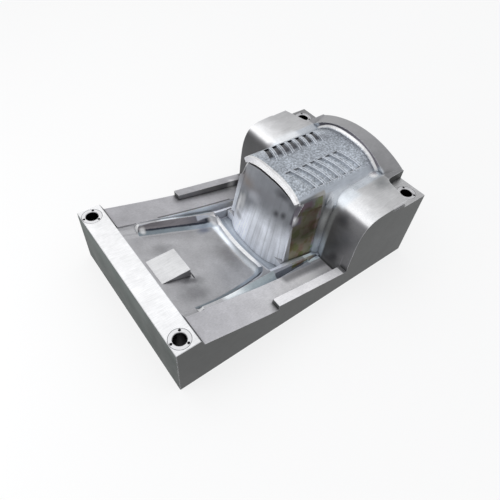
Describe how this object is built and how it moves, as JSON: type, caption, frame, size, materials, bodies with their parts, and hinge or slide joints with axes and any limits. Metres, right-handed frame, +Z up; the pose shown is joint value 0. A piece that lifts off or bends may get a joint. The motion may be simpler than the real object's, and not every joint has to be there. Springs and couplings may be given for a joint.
{
  "type": "injection mould core half",
  "caption": "Core half of an injection mould for a plastic armchair: tall arched core, seat dish and sloping parting strips cut from one steel block, with flanged guide bushes at its corners.",
  "frame": {"origin": "centre of the clamping face, at the bottom of the block", "axes": "+X along the block from the bar across its front end to the back rim, +Y across the block, +Z up out of the clamping face, in the opening direction of the mould"},
  "size_m": [1.264, 0.8, 0.4859],
  "materials": {
    "block_steel": "milled and ground, polished in the cavity",
    "bush_steel": "ground",
    "screw_steel": "blackened"
  },
  "bodies": {
    "root": {"core_block": "block_steel", "guide_bush_front_left": "bush_steel", "guide_bush_front_right": "bush_steel", "guide_bush_rear_left": "bush_steel", "guide_bush_rear_right": "bush_steel", "flange_screw_front_left_1": "screw_steel", "flange_screw_front_left_2": "screw_steel", "flange_screw_front_left_3": "screw_steel", "flange_screw_front_right_1": "screw_steel", "flange_screw_front_right_2": "screw_steel", "flange_screw_front_right_3": "screw_steel", "flange_screw_rear_left_1": "screw_steel", "flange_screw_rear_left_2": "screw_steel", "flange_screw_rear_left_3": "screw_steel", "flange_screw_rear_right_1": "screw_steel", "flange_screw_rear_right_2": "screw_steel", "flange_screw_rear_right_3": "screw_steel"}
  },
  "joints": []
}
